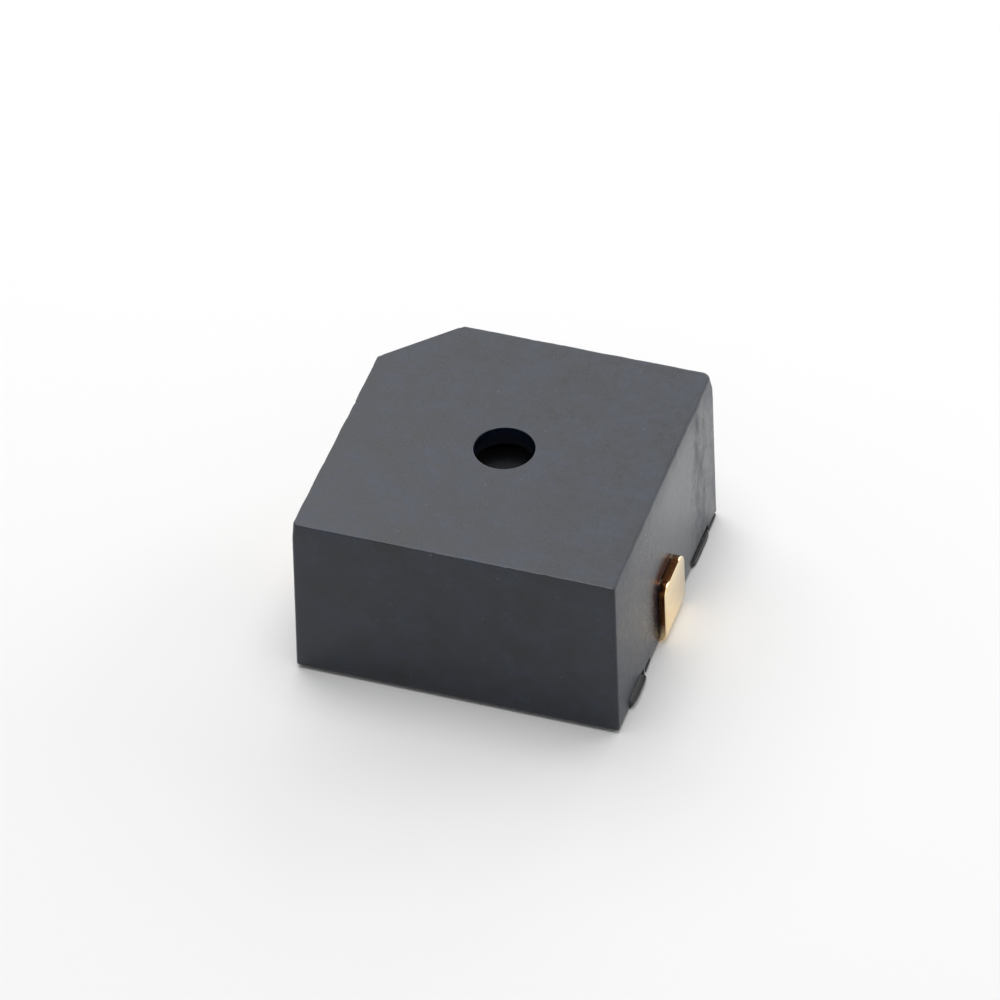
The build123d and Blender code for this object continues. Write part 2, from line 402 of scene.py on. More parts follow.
def gold_plate():
    """Flash gold over nickel on rolled bronze strip, stamped after plating.

    The rolled faces are pale gold with fine lines along the strip and a few dull stains. The
    sheared sides show bare bronze, which is brown with tear marks and takes its shade from the wall
    beside it. Their colour is also darkened with painted shade that stands for that dark wall, and
    towards the bend it is painted lighter as a painted reflection of the floor.
    """
    material, tree, shader = start_material("gold_plated_bronze_strip")
    place = add(tree, "ShaderNodeTexCoord")
    drawn = add(
        tree, "ShaderNodeMapping", {"Vector": (place, "Object"), "Scale": (1.0, 1.0, 0.04)},
    )
    lines = add(
        tree, "ShaderNodeTexNoise",
        {"Vector": (drawn, "Vector"), "Scale": per_mm(0.04), "Detail": 2.0},
    )
    stains = add(
        tree, "ShaderNodeTexNoise",
        {"Vector": (place, "Object"), "Scale": per_mm(0.45), "Detail": 4.0},
    )
    stain = add(tree, "ShaderNodeMapRange", {"Value": (stains, "Fac"), 1: 0.35, 2: 0.7})
    plated = add(
        tree, "ShaderNodeMix", {0: (stain, "Result"), 6: linear("#fde9c2"), 7: linear("#f8dcaa")},
        data_type="RGBA",
    )
    # Share of the dark side colour on each face: full on the sheared sides, less towards the bend
    # as painted reflection of the floor
    sheared = add(tree, "ShaderNodeAttribute", attribute_name="sheared")
    tears = add(
        tree, "ShaderNodeTexNoise",
        {"Vector": (drawn, "Vector"), "Scale": per_mm(0.09), "Detail": 3.0},
    )
    # Bare bronze, brown with tear marks, darkened further with painted shade for the black wall
    # mirrored in the sides
    bare = add(
        tree, "ShaderNodeMix", {0: (tears, "Fac"), 6: linear("#472a17"), 7: linear("#7c5030")},
        data_type="RGBA",
    )
    colour = add(
        tree, "ShaderNodeMix", {0: (sheared, "Fac"), 6: (plated, 2), 7: (bare, 2)},
        data_type="RGBA",
    )
    gloss = add(
        tree, "ShaderNodeMapRange", {"Value": (lines, "Fac"), 1: 0.3, 2: 0.7, 3: 0.14, 4: 0.24},
    )
    bump = add(
        tree, "ShaderNodeBump",
        {"Height": (lines, "Fac"), "Strength": 1.0, "Distance": 0.0004 * MM},
    )
    link_surface(tree, shader, colour, gloss, bump)
    shader.inputs["Metallic"].default_value = 1.0
    return material


def worked_metal(name, tones, gloss_range, size, stretch=(1, 1, 1)):
    """A bare or plated metal whose working left marks of one size, drawn out by stretch."""
    material, tree, shader = start_material(name)
    place = add(tree, "ShaderNodeTexCoord")
    drawn = add(tree, "ShaderNodeMapping", {"Vector": (place, "Object"), "Scale": stretch})
    marks = add(
        tree, "ShaderNodeTexNoise",
        {"Vector": (drawn, "Vector"), "Scale": per_mm(size), "Detail": 3.0},
    )
    tone = add(tree, "ShaderNodeMapRange", {"Value": (marks, "Fac"), 1: 0.35, 2: 0.65})
    colour = add(
        tree, "ShaderNodeMix", {0: (tone, "Result"), 6: linear(tones[0]), 7: linear(tones[1])},
        data_type="RGBA",
    )
    gloss = add(
        tree, "ShaderNodeMapRange",
        {"Value": (marks, "Fac"), 1: 0.3, 2: 0.7, 3: gloss_range[0], 4: gloss_range[1]},
    )
    bump = add(
        tree, "ShaderNodeBump",
        {"Height": (marks, "Fac"), "Strength": 1.0, "Distance": 0.001 * MM},
    )
    link_surface(tree, shader, colour, gloss, bump)
    shader.inputs["Metallic"].default_value = 1.0
    return material


def black_epoxy():
    """Poured and cured epoxy: glossy black, a little wavy, with dust in its skin."""
    material, tree, shader = start_material("black_potting_epoxy")
    place = add(tree, "ShaderNodeTexCoord")
    waves = add(
        tree, "ShaderNodeTexNoise",
        {"Vector": (place, "Object"), "Scale": per_mm(0.8), "Detail": 1.0},
    )
    dust = add(
        tree, "ShaderNodeTexNoise",
        {"Vector": (place, "Object"), "Scale": per_mm(0.06), "Detail": 2.0},
    )
    tone = add(tree, "ShaderNodeMapRange", {"Value": (dust, "Fac"), 1: 0.4, 2: 0.75})
    colour = add(
        tree, "ShaderNodeMix", {0: (tone, "Result"), 6: linear("#0e0e10"), 7: linear("#232325")},
        data_type="RGBA",
    )
    gloss = add(
        tree, "ShaderNodeMapRange", {"Value": (dust, "Fac"), 1: 0.3, 2: 0.7, 3: 0.12, 4: 0.3},
    )
    bump = add(
        tree, "ShaderNodeBump",
        {"Height": (waves, "Fac"), "Strength": 1.0, "Distance": 0.02 * MM},
    )
    link_surface(tree, shader, colour, gloss, bump)
    shader.inputs["IOR"].default_value = 1.56
    return material


def ferrite():
    """Sintered ferrite, ground flat: dark grey and dull, with a fine crystal grain."""
    material, tree, shader = start_material("sintered_ferrite")
    place = add(tree, "ShaderNodeTexCoord")
    crystals = add(
        tree, "ShaderNodeTexNoise",
        {"Vector": (place, "Object"), "Scale": per_mm(0.06), "Detail": 3.0},
    )
    tone = add(tree, "ShaderNodeMapRange", {"Value": (crystals, "Fac"), 1: 0.3, 2: 0.7})
    colour = add(
        tree, "ShaderNodeMix", {0: (tone, "Result"), 6: linear("#2a292b"), 7: linear("#3d3c3e")},
        data_type="RGBA",
    )
    gloss = add(
        tree, "ShaderNodeMapRange",
        {"Value": (crystals, "Fac"), 1: 0.3, 2: 0.7, 3: 0.4, 4: 0.6},
    )
    bump = add(
        tree, "ShaderNodeBump",
        {"Height": (crystals, "Fac"), "Strength": 1.0, "Distance": 0.002 * MM},
    )
    link_surface(tree, shader, colour, gloss, bump)
    return material


def enamelled_copper():
    """Copper wire under clear polyurethane enamel, which gives it a smooth gloss."""
    material = worked_metal("enamelled_copper", ("#a9532a", "#c8753f"), (0.25, 0.38), 0.05)
    shader = material.node_tree.nodes["Principled BSDF"]
    shader.inputs["Coat Weight"].default_value = 0.8
    shader.inputs["Coat Roughness"].default_value = 0.08
    return material


def new_object(name, bm):
    """Turn a mesh under construction into an object of the scene."""
    mesh = bpy.data.meshes.new(name)
    bm.to_mesh(mesh)
    bm.free()
    made = bpy.data.objects.new(name, mesh)
    bpy.context.scene.collection.objects.link(made)
    return made


def dress(piece, material, replaced):
    """Give a piece its material and smooth shading, and let it stand for a solid of the part."""
    piece.data.materials.clear()
    piece.data.materials.append(material)
    piece.data.polygons.foreach_set("use_smooth", [True] * len(piece.data.polygons))
    piece.data.set_sharp_from_angle(angle=math.radians(38))
    weigh = piece.modifiers.new("weighted", "WEIGHTED_NORMAL")
    weigh.keep_sharp = True
    applied(piece)
    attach(piece, "root")
    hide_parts(replaced)
    return piece


def applied(piece):
    """Turn what a piece's modifiers make into its plain mesh."""
    graph = bpy.context.evaluated_depsgraph_get()
    mesh = bpy.data.meshes.new_from_object(piece.evaluated_get(graph))
    piece.modifiers.clear()
    old = piece.data
    piece.data = mesh
    bpy.data.meshes.remove(old)
    mesh.name = piece.name
    return piece


def outline(inset, radii, level):
    """The case's outline moved in by inset: each round corner, then the side after it."""
    per_side = 72
    per_corner = 8
    half = CASE_HALF - inset
    cut = POLARITY_CUT - LEG_PER_INSET * inset
    corners = [
        Vector(point) for point in (
            (-half, -half), (half, -half), (half, half), (cut - half, half), (-half, half - cut)
        )
    ]
    arcs = []
    for i, here in enumerate(corners):
        back = (corners[i - 1] - here).normalized()
        ahead = (corners[(i + 1) % len(corners)] - here).normalized()
        half_angle = back.angle(ahead) / 2
        radius = radii[i]
        centre = here + (back + ahead).normalized() * radius / math.sin(half_angle)
        start = here + back * radius / math.tan(half_angle) - centre
        turn = math.pi - 2 * half_angle
        arc = []
        for k in range(per_corner + 1):
            angle = turn * k / per_corner
            arc.append(centre + Matrix.Rotation(angle, 2) @ start)
        arcs.append(arc)
    points = []
    for i, arc in enumerate(arcs):
        points += arc
        ahead = arcs[(i + 1) % len(arcs)][0]
        for k in range(1, per_side):
            points.append(arc[-1].lerp(ahead, k / per_side))
    return [Vector((p.x, p.y, level)) for p in points]


def circle(radius, level, count=128):
    """Points on a circle about the Z axis."""
    points = []
    for k in range(count):
        angle = math.tau * k / count
        points.append(Vector((radius * math.cos(angle), radius * math.sin(angle), level)))
    return points


def add_loop(bm, points):
    """Vertices at points in millimetres."""
    return [bm.verts.new(point * MM) for point in points]


def bridge(bm, first, second):
    """Quads between two loops of as many vertices."""
    count = len(first)
    faces = []
    for i in range(count):
        j = (i + 1) % count
        faces.append(bm.faces.new((first[i], first[j], second[j], second[i])))
    return faces


def loft(bm, loops):
    """Join loops that follow each other, and return the first and the last."""
    rows = [add_loop(bm, points) for points in loops]
    for first, second in zip(rows, rows[1:]):
        bridge(bm, first, second)
    return rows[0], rows[-1]


def skin(bm, rows):
    """Close a body over rows of vertices that follow each other."""
    for first, second in zip(rows, rows[1:]):
        bridge(bm, first, second)
    bm.faces.new(rows[0])
    bm.faces.new(rows[-1])
    bmesh.ops.recalc_face_normals(bm, faces=bm.faces)


def fill_between(bm, *loops):
    """Flat faces between an outer loop and the hole in it."""
    edges = []
    for loop in loops:
        for i, vert in enumerate(loop):
            edges.append(bm.edges.get((vert, loop[(i + 1) % len(loop)])))
    bmesh.ops.triangle_fill(bm, use_beauty=True, use_dissolve=False, edges=edges)


def quarter(radius, steps, start, end):
    """Steps along an arc between two angles, as offsets from its centre."""
    pairs = []
    for k in range(steps + 1):
        angle = start + (end - start) * k / steps
        pairs.append((radius * math.cos(angle), radius * math.sin(angle)))
    return pairs


def box_cutter(bm, x_range, y_middle, width, z_range, sign):
    """A box to cut with, mirrored to -X when sign is negative."""
    made = bmesh.ops.create_cube(bm, size=1.0)
    length = x_range[1] - x_range[0]
    height = z_range[1] - z_range[0]
    middle = Vector((sign * sum(x_range) / 2, y_middle, sum(z_range) / 2))
    for vert in made["verts"]:
        scaled = Vector((vert.co.x * length, vert.co.y * width, vert.co.z * height))
        vert.co = (scaled + middle) * MM


def lug_middle(lug):
    """Place of a lug's middle along its wall."""
    return lug.end * (CASE_HALF - lug.margin - lug.width / 2)


def notch_cutter(bm, lug):
    """A box to cut the notch round a lug with."""
    box_cutter(
        bm, WALL_REACH, lug_middle(lug), lug.width + 2 * NOTCH_GAP,
        (-lug.notch_top, lug.notch_top), lug.side,
    )


def pocket_cutter(bm, x, y):
    """A round post to core out a corner with."""
    low = FLANGE_TOP - ROOF_THICKNESS / 2
    high = ROOF_TOP - POCKET_ROOF
    place = Matrix.Translation(Vector((x, y, (low + high) / 2)) * MM)
    bmesh.ops.create_cone(
        bm, cap_ends=True, segments=40, radius1=POCKET / 2 * MM, radius2=POCKET / 2 * MM,
        depth=(high - low) * MM, matrix=place,
    )


def chip_cutter(bm, place, reaches):
    """A lump to break a chip out of an edge with, rough so that the break looks torn."""
    bump_share = 0.3
    bump_waves = 2.3
    made = bmesh.ops.create_icosphere(bm, subdivisions=2, radius=1.0)
    for vert in made["verts"]:
        rough = 1 + bump_share * noise.noise(vert.co * bump_waves + Vector(place))
        lump = Vector([share * reach for share, reach in zip(vert.co * rough, reaches)])
        vert.co = (Vector(place) + lump) * MM


def wall_loops():
    """Loops up the outside of the case: lower edge, drafted walls, soft rim and roof."""
    loops = []
    for inset, rise in quarter(LOWER_EDGE, 4, math.pi / 2, 0):
        loops.append(outline(LOWER_EDGE - inset, CORNER_RADII, STANDOFF + LOWER_EDGE - rise))
    levels = 12
    wall_low = STANDOFF + LOWER_EDGE
    wall_top = ROOF_TOP - RIM_RADIUS
    for k in range(1, levels + 1):
        level = wall_low + (wall_top - wall_low) * k / levels
        share = max(0.0, 1 - (wall_top - level) / ROOF_CORNER_DEPTH)
        radii = [
            low + (high - low) * share for low, high in zip(CORNER_RADII, ROOF_CORNER_RADII)
        ]
        loops.append(outline((level - STANDOFF) * math.tan(WALL_DRAFT), radii, level))
    rim_inset = (wall_top - STANDOFF) * math.tan(WALL_DRAFT) + RIM_RADIUS
    for inset, rise in quarter(RIM_RADIUS, 5, 0, math.pi / 2)[1:]:
        loops.append(outline(rim_inset - inset, ROOF_CORNER_RADII, wall_top + rise))
    loops.append(outline(rim_inset + RIM_RADIUS, ROOF_CORNER_RADII, ROOF_TOP))
    return loops


def bore_loops():
    """Loops down the middle of the case: sound hole, resonance chamber, shoulder and bore."""
    hole = SOUND_HOLE / 2
    loops = [circle(hole + 2 * EDGE_BREAK, ROOF_TOP)]
    for inset, rise in quarter(EDGE_BREAK, 3, math.pi / 2, 0):
        loops.append(circle(hole + EDGE_BREAK - inset, ROOF_TOP - EDGE_BREAK + rise))
    for inset, rise in quarter(HOLE_RELIEF, 4, 0, math.pi / 2):
        loops.append(circle(hole + HOLE_RELIEF - inset, ROOF_UNDER + HOLE_RELIEF - rise))
    loops += [
        circle(CHAMBER / 2, ROOF_UNDER),
        circle(CHAMBER / 2, SHOULDER),
        circle(BORE / 2, SHOULDER),
        circle(BORE / 2, FLANGE_TOP),
    ]
    return loops


def make_case(material):
    """The shell: its outside, its middle and the recess for the base, then what is cut out."""
    bm = bmesh.new()
    bottom, roof = loft(bm, wall_loops())
    mouth, seat = loft(bm, bore_loops())
    fill_between(bm, roof, mouth)
    recess = [
        outline(SKIRT_WALL, FLANGE_RADII, FLANGE_TOP),
        outline(SKIRT_WALL, FLANGE_RADII, STANDOFF),
    ]
    ceiling, sole = loft(bm, recess)
    fill_between(bm, ceiling, seat)
    bridge(bm, sole, bottom)
    bmesh.ops.recalc_face_normals(bm, faces=bm.faces)
    wear(bm)

    case = new_object("case_moulding", bm)
    cutters = bmesh.new()
    pocket_place = CASE_HALF - POCKET_WALL - POCKET / 2
    for x_sign, y_sign in WHOLE_CORNERS:
        pocket_cutter(cutters, x_sign * pocket_place, y_sign * pocket_place)
    for lug in LUGS:
        notch_cutter(cutters, lug)
    for side in (-1, 1):
        box_cutter(cutters, WALL_REACH, 0, RELIEF_WIDTH, (-RELIEF_TOP, RELIEF_TOP), side)
    chip_cutter(cutters, *CHIP)
    combine(case, cutters, "DIFFERENCE")
    slit = bmesh.new()
    notch_cutter(slit, LIP)
    combine(case, slit, "DIFFERENCE")
    return dress(case, material, "case")


def combine(piece, other, operation):
    """Cut a mesh out of a piece or join it to the piece."""
    operand = new_object("operand", other)
    step = piece.modifiers.new("step", "BOOLEAN")
    step.operation = operation
    step.object = operand
    step.solver = "EXACT"
    applied(piece)
    bpy.data.objects.remove(operand)


def wear(bm):
    """Let the walls wander by a few microns and the rim by more, with small nicks in it."""
    for vert in bm.verts:
        place = vert.co / MM
        outside = max(abs(place.x), abs(place.y)) > CASE_HALF - SKIRT_WALL / 2
        if not outside or place.z < STANDOFF + 2 * LOWER_EDGE:
            continue
        inward = Vector((-place.x, -place.y, 0)).normalized()
        wander = noise.noise(place * WALL_WAVES) * WALL_DRIFT
        shift = inward * (WALL_DRIFT + wander)
        if place.z > ROOF_TOP - 2 * RIM_RADIUS:
            around = Vector((place.x, place.y, 0))
            shift += inward * (noise.noise(around * RIM_WAVES) + 1) * RIM_DRIFT / 2
            nick = max(0.0, noise.noise(around * NICK_WAVES) - NICK_START)
            shift += inward * nick * NICK_DEPTH
        vert.co += shift * MM


def welded(node, name, edge_break=0.0):
    """A welded copy of a solid with its edges broken."""
    bm = bmesh.new()
    bm.from_mesh(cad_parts[node].data)
    bmesh.ops.remove_doubles(bm, verts=bm.verts, dist=0.0005 * MM)
    bmesh.ops.dissolve_limit(
        bm, angle_limit=math.radians(0.5), verts=bm.verts, edges=bm.edges, delimit={"NORMAL"},
    )
    piece = new_object(name, bm)
    if edge_break:
        bevel = piece.modifiers.new("edges", "BEVEL")
        bevel.width = edge_break * MM
        bevel.segments = 2
        bevel.limit_method = "ANGLE"
        bevel.angle_limit = math.radians(50)
        applied(piece)
    return piece


def refined(node, name, material, edge_break=0.0):
    """A piece whose shape is its solid's, with its edges broken."""
    return dress(welded(node, name, edge_break), material, node)


def lug_body(bm, lug):
    """One lug of the base: a moulded bar that swells out of its notch and may be undercut."""
    root = FLANGE_FACE - SKIRT_WALL / 2
    steps = 14
    rows = []
    for k in range(steps + 1):
        share = 2 * k / steps - 1
        swell = (1 - abs(share) ** 5) ** 0.5  # flat along the middle, round at the ends
        face = CASE_HALF + lug.proud * (LUG_END_SHARE + (1 - LUG_END_SHARE) * swell)
        y = lug_middle(lug) + share * lug.width / 2
        foot = face - lug.undercut * swell
        section = [(root, LUG_SOLE), (foot - EDGE_BREAK, LUG_SOLE), (foot, LUG_SOLE + EDGE_BREAK)]
        for across, up in quarter(LUG_NOSE, 5, 0, math.pi / 2):
            section.append((face - LUG_NOSE + across, lug.top - LUG_NOSE + up))
        section.append((root, lug.top))
        rows.append(add_loop(bm, [Vector((lug.side * x, y, z)) for x, z in section]))
    skin(bm, rows)


def make_base(material):
    """The base: its solid with the plain lugs cut back, and moulded lugs in their place."""
    base = welded("base", "base_moulding", EDGE_BREAK)
    plain_reach = (FLANGE_FACE + EDGE_BREAK, WALL_REACH[1])
    plain_lugs = bmesh.new()
    for side in (-1, 1):
        box_cutter(
            plain_lugs, plain_reach, 0, 2 * plain_reach[1], (-FLANGE_TOP, FLANGE_TOP), side,
        )
    combine(base, plain_lugs, "DIFFERENCE")
    lugs = bmesh.new()
    for lug in (*LUGS, LIP):
        lug_body(lugs, lug)
    combine(base, lugs, "UNION")
    return dress(base, material, "base")


def path_points(corners, radii, steps):
    """Stations along a path in the XZ plane: place and direction, with round bends."""
    stations = [(Vector(corners[0]), (Vector(corners[1]) - Vector(corners[0])).normalized())]
    for before, here, after, radius in zip(corners, corners[1:], corners[2:], radii):
        here = Vector(here)
        back = (Vector(before) - here).normalized()
        ahead = (Vector(after) - here).normalized()
        centre = here + (back + ahead) * radius
        for k in range(steps + 1):
            angle = math.pi / 2 * k / steps
            arm = -ahead * math.cos(angle) - back * math.sin(angle)
            heading = -back * math.cos(angle) + ahead * math.sin(angle)
            stations.append((centre + arm * radius, heading.normalized()))
    last = Vector(corners[-1])
    stations.append((last, (last - Vector(corners[-2])).normalized()))
    return stations


def strip_section(left, right, thickness):
    """Section of stamped strip: rolled-in edges on one face and a burr edge on the other."""
    top = thickness / 2
    points = []
    for across, up in quarter(SHEAR_ROLL, 3, 0, math.pi / 2):
        points.append((right - SHEAR_ROLL + across, top - SHEAR_ROLL + up))
    for across, up in quarter(SHEAR_ROLL, 3, math.pi / 2, math.pi):
        points.append((-left + SHEAR_ROLL + across, top - SHEAR_ROLL + up))
    points += [
        (-left, -top + BURR), (-left + BURR, -top), (right - BURR, -top), (right, -top + BURR),
    ]
    return points


def corner_loss(radius, drop):
    """How much a round corner narrows the strip at a distance below its end."""
    if drop >= radius:
        return 0.0
    return radius - math.sqrt(radius ** 2 - (radius - drop) ** 2)


def terminal_rings():
    """The strip from tab to pad: place, heading, reach to -Y and +Y, and how much of the dark side
    colour its sides take, which is bare bronze with painted shade, less near the bend for a painted
    reflection of the floor.
    """
    foot = STRIP_THICKNESS / 2
    tab_middle = TAB_FACE - foot
    corners = [
        (tab_middle, TAB_TOP), (tab_middle, foot), (RISER_PLACE, foot),
        (RISER_PLACE, PAD_LEVEL), (PAD_END, PAD_LEVEL),
    ]
    radii = (TAB_BEND_RADIUS, BEND_RADIUS, BEND_RADIUS)
    stations = path_points(corners, radii, BEND_STEPS)
    rings = []
    first, heading = stations[0]
    corner_steps = 12
    for k in range(corner_steps + 1):
        drop = max(TAB_CORNERS) * (1 - math.cos(math.pi / 2 * k / corner_steps))
        left, right = (
            half - corner_loss(radius, drop) for half, radius in zip(TAB_HALVES, TAB_CORNERS)
        )
        rings.append((first + heading * drop, heading, left, right, 1.0))
    corner_end = rings[-1][0]
    straight_steps = 24
    for k in range(1, straight_steps):
        place = corner_end.lerp(stations[1][0], k / straight_steps)
        # The sides take less of their dark colour towards the bend: painted reflection of the floor
        painted_reflection = min(1.0, max(0.0, (PAINTED_REFLECTION_TOP - place.y) / (PAINTED_REFLECTION_TOP - TAB_BEND_RADIUS)))
        rings.append((place, heading, *TAB_HALVES, 1 - (1 - DARK_SIDE_SHARE_AT_BEND) * painted_reflection))
    for place, heading in stations[1:BEND_STEPS + 2]:
        rings.append((place, heading, *TAB_HALVES, DARK_SIDE_SHARE_AT_BEND))
    # The foot steps from the tab's width to the leg's in one place
    leg_halves = (LEG_WIDTH / 2, LEG_WIDTH / 2)
    step = Vector((RISER_PLACE + BEND_RADIUS + STRIP_THICKNESS, foot))
    inwards = Vector((-1, 0))
    rings.append((step, inwards, *TAB_HALVES, 1.0))
    rings.append((step, inwards, *leg_halves, 1.0))
    for place, heading in stations[BEND_STEPS + 2:]:
        rings.append((place, heading, *leg_halves, 1.0))
    return rings


def make_terminal(name, side, material):
    """Stamped terminal: tab, foot, riser and inner pad, with rolled and sheared edges."""
    rings = terminal_rings()
    bm = bmesh.new()
    rows = []
    for place, heading, left, right, _ in rings:
        outward = Vector((-heading.y, heading.x))
        lean = Vector((0, 0))
        if place.x >= RISER_PLACE + BEND_RADIUS:
            lean.x = max(0.0, place.y - BEND_RADIUS) * math.tan(WALL_DRAFT)
        row = []
        for across, up in strip_section(left, right, STRIP_THICKNESS):
            spot = place + outward * up - lean
            row.append(Vector((side * spot.x, across, spot.y)))
        rows.append(add_loop(bm, row))
    # Share of the dark side colour on each sheared face: bare bronze with painted shade, less near
    # the bend for painted reflection
    mark = bm.faces.layers.float.new("sheared")
    count = len(rows[0])
    for first, second, ring in zip(rows, rows[1:], rings):
        faces = bridge(bm, first, second)
        for sheared in (count - 5, count - 1):
            faces[sheared][mark] = ring[-1]
    for end_row in (rows[0], rows[-1]):
        bm.faces.new(end_row)[mark] = 1.0
    bmesh.ops.recalc_face_normals(bm, faces=bm.faces)
    return dress(new_object(f"{name}_stamping", bm), material, name)


def make_lead(name, replaced, side, level, material):
    """Round lead from the winding down to the solder joint."""
    corners = [
        (coil_high.x, level), (LEAD_PLACE, level), (LEAD_PLACE, LEAD_LOW), (LEAD_END, LEAD_LOW),
    ]
    bm = bmesh.new()
    rows = []
    sides = 12
    for place, heading in path_points(corners, (LEAD_BEND, LEAD_BEND), 8):
        outward = Vector((-heading.y, heading.x))
        row = []
        for k in range(sides):
            angle = math.tau * k / sides
            spot = place + outward * math.cos(angle) * LEAD_WIRE / 2
            across = math.sin(angle) * LEAD_WIRE / 2
            row.append(Vector((side * spot.x, side * across, spot.y)))
        rows.append(add_loop(bm, row))
    skin(bm, rows)
    return dress(new_object(name, bm), material, replaced)


def winding_tree():
    """Geometry nodes: turns of round wire as a helix on a core body."""
    tree = bpy.data.node_groups.new("winding_turns", "GeometryNodeTree")
    face = tree.interface
    face.new_socket("Geometry", in_out="OUTPUT", socket_type="NodeSocketGeometry")
    face.new_socket("Geometry", in_out="INPUT", socket_type="NodeSocketGeometry")
    for label in ("Wire", "Outer radius", "Low", "Height"):
        face.new_socket(label, in_out="INPUT", socket_type="NodeSocketFloat")
    face.new_socket("Enamel", in_out="INPUT", socket_type="NodeSocketMaterial")
    inputs = add(tree, "NodeGroupInput")
    wire_radius = add(tree, "ShaderNodeMath", {0: (inputs, "Wire"), 1: 2.0}, operation="DIVIDE")
    turns = add(
        tree, "ShaderNodeMath", {0: (inputs, "Height"), 1: (inputs, "Wire")}, operation="DIVIDE",
    )
    layer_radius = add(
        tree, "ShaderNodeMath", {0: (inputs, "Outer radius"), 1: (wire_radius, "Value")},
        operation="SUBTRACT",
    )
    climb = add(
        tree, "ShaderNodeMath", {0: (inputs, "Height"), 1: (inputs, "Wire")},
        operation="SUBTRACT",
    )
    helix = add(
        tree, "GeometryNodeCurveSpiral",
        {
            "Resolution": 64, "Rotations": (turns, "Value"), "Height": (climb, "Value"),
            "Start Radius": (layer_radius, "Value"), "End Radius": (layer_radius, "Value"),
        },
    )
    helix_low = add(
        tree, "ShaderNodeMath", {0: (inputs, "Low"), 1: (wire_radius, "Value")}, operation="ADD",
    )
    lift = add(tree, "ShaderNodeCombineXYZ", {"Z": (helix_low, "Value")})
    placed = add(
        tree, "GeometryNodeTransform",
        {"Geometry": (helix, "Curve"), "Translation": (lift, "Vector")},
    )
    round_wire = add(
        tree, "GeometryNodeCurvePrimitiveCircle",
        {"Resolution": 8, "Radius": (wire_radius, "Value")},
    )
    wound = add(
        tree, "GeometryNodeCurveToMesh",
        {"Curve": (placed, "Geometry"), "Profile Curve": (round_wire, "Curve"),
         "Fill Caps": True},
    )
    joined = add(tree, "GeometryNodeJoinGeometry")
    tree.links.new(wound.outputs["Mesh"], joined.inputs["Geometry"])
    tree.links.new(inputs.outputs["Geometry"], joined.inputs["Geometry"])
    real = add(tree, "GeometryNodeRealizeInstances", {"Geometry": (joined, "Geometry")})
    painted = add(
        tree, "GeometryNodeSetMaterial",
        {"Geometry": (real, "Geometry"), "Material": (inputs, "Enamel")},
    )
    add(tree, "NodeGroupOutput", {"Geometry": (painted, "Geometry")})
    return tree


def make_winding(material):
    """The winding: outer turns on a body whose end faces show the layers."""
    outer = coil_high.x
    body_outer = outer - TURN_WIRE * 0.5
    low = coil_low.z
    high = coil_high.z
    rows = []
    for k in range(LAYERS + 1):
        radius = WINDING_BORE + (body_outer - WINDING_BORE) * k / LAYERS
        rows.append(circle(radius, high - LAYER_STEP * (k % 2), 64))
    for k in range(LAYERS + 1):
        radius = body_outer - (body_outer - WINDING_BORE) * k / LAYERS
        rows.append(circle(radius, low + LAYER_STEP * (k % 2), 64))
    bm = bmesh.new()
    first, last = loft(bm, rows)
    bridge(bm, last, first)
    bmesh.ops.recalc_face_normals(bm, faces=bm.faces)
    piece = new_object("coil_turns", bm)
    turns = piece.modifiers.new("turns", "NODES")
    turns.node_group = winding_tree()
    values = {
        "Wire": TURN_WIRE * MM, "Outer radius": outer * MM, "Low": low * MM,
        "Height": (high - low) * MM, "Enamel": material,
    }
    for item in turns.node_group.interface.items_tree:
        if item.in_out == "INPUT" and item.name in values:
            turns[item.identifier] = values[item.name]
    applied(piece)
    return dress(piece, material, "coil_winding")


def room_lamp(name, azimuth, elevation, radiance):
    """Round softbox of one spread, as seen from the part, at a radiance of its own."""
    lamp = bpy.data.lights.new(name, "AREA")
    lamp.shape = "DISK"
    lamp.size = 2 * LAMP_DISTANCE * math.tan(LAMP_SPREAD / 2) * MM
    # An even disk sends out pi times its area for each unit of radiance
    lamp.energy = radiance * math.pi * math.pi * (lamp.size / 2) ** 2
    holder = bpy.data.objects.new(name, lamp)
    turn = math.radians(azimuth)
    rise = math.radians(elevation)
    away = Vector((
        math.cos(turn) * math.cos(rise), math.sin(turn) * math.cos(rise), math.sin(rise),
    ))
    holder.location = away * LAMP_DISTANCE * MM
    holder.rotation_euler = (-away).to_track_quat("-Z", "Y").to_euler()
    bpy.context.scene.collection.objects.link(holder)


def make_floor():
    """Plain pale table that keeps the shadow."""
    material, tree, shader = start_material("white_table")
    shader.inputs["Base Color"].default_value = linear("#f2f2f2")
    shader.inputs["Roughness"].default_value = 0.9
    shader.inputs["Specular IOR Level"].default_value = 0.2
    bm = bmesh.new()
    bmesh.ops.create_grid(bm, x_segments=1, y_segments=1, size=2.0)
    table = new_object("table", bm)
    table.data.materials.append(material)


def make_world():
    """Soft even room light, which the camera and every gloss see as a white backdrop."""
    world = bpy.data.worlds.new("room")
    bpy.context.scene.world = world
    world.use_nodes = True
    tree = world.node_tree
    tree.nodes.clear()
    rays = add(tree, "ShaderNodeLightPath")
    seen = add(
        tree, "ShaderNodeMath", {0: (rays, "Is Camera Ray"), 1: (rays, "Is Glossy Ray")},
        operation="MAXIMUM",
    )
    white = add(
        tree, "ShaderNodeMath", {0: (seen, "Value"), 1: (rays, "Is Transmission Ray")},
        operation="MAXIMUM",
    )
    room = add(
        tree, "ShaderNodeBackground", {"Color": linear("#ffffff"), "Strength": ROOM_LIGHT},
    )
    backdrop = add(tree, "ShaderNodeBackground", {"Color": linear("#ffffff"), "Strength": 1.0})
    mix = add(
        tree, "ShaderNodeMixShader",
        {0: (white, "Value"), 1: (room, "Background"), 2: (backdrop, "Background")},
    )
    add(tree, "ShaderNodeOutputWorld", {"Surface": (mix, "Shader")})


